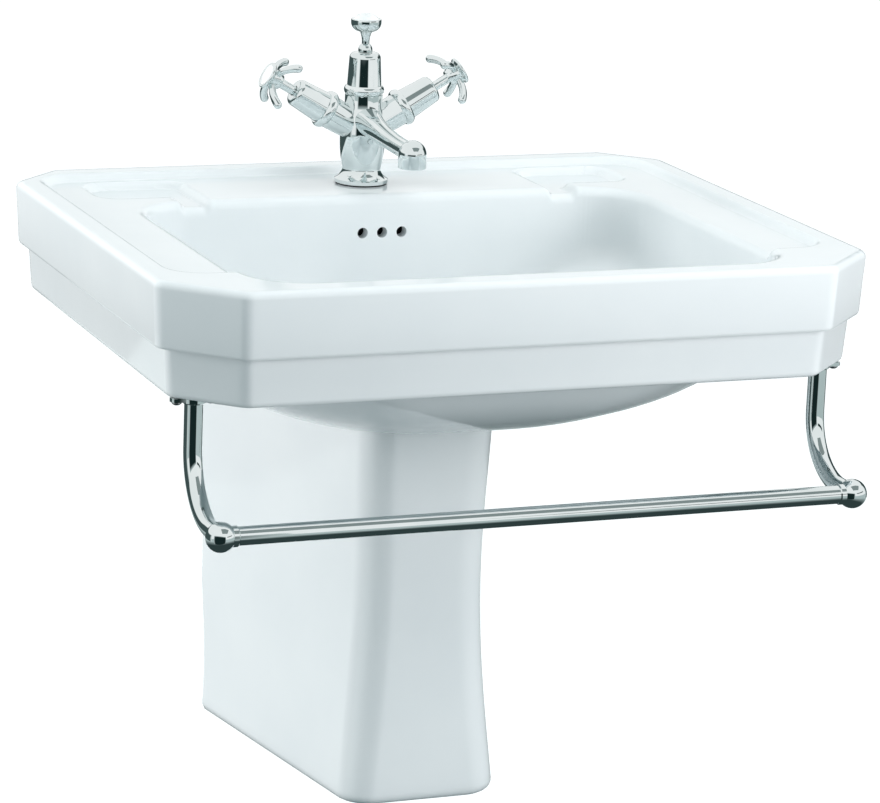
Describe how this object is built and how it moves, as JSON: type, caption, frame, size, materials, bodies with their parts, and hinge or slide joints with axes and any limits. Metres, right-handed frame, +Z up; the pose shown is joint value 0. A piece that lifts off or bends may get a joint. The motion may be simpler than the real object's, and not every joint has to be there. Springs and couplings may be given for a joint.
{
  "type": "semi-pedestal basin",
  "caption": "Wall-hung ceramic basin with stepped chamfered rim, half pedestal, cross-handle mixer tap with lift-rod waste, and chrome towel rail under the front.",
  "frame": {"origin": "on the wall face, midway between the two wall bolts of the basin", "axes": "+X to the right as seen from the front, +Y into the wall, +Z up"},
  "size_m": [0.6094, 0.533, 0.6553],
  "materials": {
    "white_glaze": "gloss",
    "white_porcelain": "gloss",
    "disc_ceramic": "polished",
    "chrome_plate": "polished",
    "raw_brass": "machined",
    "steel": "brushed",
    "black_rubber": "matte",
    "white_plastic": "satin"
  },
  "bodies": {
    "basin_unit": {"basin": "white_glaze", "semi_pedestal": "white_glaze", "hot_fixed_disc": "disc_ceramic", "cold_fixed_disc": "disc_ceramic", "tap_body": "chrome_plate", "spout": "chrome_plate", "spout_screw": "chrome_plate", "centre_crown": "chrome_plate", "centre_bonnet": "chrome_plate", "waste_body": "chrome_plate", "rail_tube": "chrome_plate", "hot_collar": "chrome_plate", "hot_shroud": "chrome_plate", "cold_collar": "chrome_plate", "cold_shroud": "chrome_plate", "left_rail_ball": "chrome_plate", "left_rail_post": "chrome_plate", "left_post_flange": "chrome_plate", "right_rail_ball": "chrome_plate", "right_rail_post": "chrome_plate", "right_post_flange": "chrome_plate", "back_nut": "raw_brass", "waste_nut": "raw_brass", "ball_nut": "raw_brass", "hot_valve_body": "raw_brass", "cold_valve_body": "raw_brass", "fixing_plate": "steel", "rail_screws": "steel", "base_gasket": "black_rubber", "deck_washer": "black_rubber", "waste_gasket": "black_rubber", "waste_washer": "black_rubber", "hot_disc_seal": "black_rubber", "cold_disc_seal": "black_rubber", "aerator": "white_plastic", "ball_seat": "white_plastic"},
    "hot_handle": {"hot_moving_disc": "disc_ceramic", "hot_spindle": "chrome_plate", "hot_spindle_ring": "black_rubber", "hot_crosshead": "chrome_plate", "hot_handle_screw": "steel", "hot_index_disc": "white_porcelain"},
    "cold_handle": {"cold_moving_disc": "disc_ceramic", "cold_spindle": "chrome_plate", "cold_spindle_ring": "black_rubber", "cold_crosshead": "chrome_plate", "cold_handle_screw": "steel", "cold_index_disc": "white_porcelain"},
    "lift": {"lift_knob": "chrome_plate", "knob_insert": "white_porcelain", "lift_rod": "chrome_plate", "lift_strap": "steel", "rod_clamp": "raw_brass", "clamp_screw": "steel"},
    "pivot": {"pivot_rod": "steel"},
    "plug": {"waste_plug": "chrome_plate", "plug_ring": "black_rubber"}
  },
  "joints": [
    {"name": "hot_handle_turn", "type": "hinge", "parent": "basin_unit", "child": "hot_handle", "pos_m": [0, -0.077, 0.1], "axis": [-0.866, 0, 0.5], "range_deg": [0, 90]},
    {"name": "cold_handle_turn", "type": "hinge", "parent": "basin_unit", "child": "cold_handle", "pos_m": [0, -0.077, 0.1], "axis": [-0.866, 0, -0.5], "range_deg": [0, 90]},
    {"name": "lift_slide", "type": "slide", "parent": "basin_unit", "child": "lift", "axis": [0, 0, 1], "range_m": [0, 0.034]},
    {"name": "pivot_tilt", "type": "hinge", "parent": "basin_unit", "child": "pivot", "pos_m": [0, -0.19, -0.167], "axis": [1, 0, 0], "range_deg": [0, 16.8]},
    {"name": "plug_slide", "type": "slide", "parent": "basin_unit", "child": "plug", "axis": [0, 0, -1], "range_m": [0, 0.0088]}
  ],
  "couplings": [
    {"joint": "pivot_tilt", "follows": "lift_slide", "rad_per_m": 8.6022},
    {"joint": "plug_slide", "follows": "lift_slide", "ratio": 0.25806}
  ]
}
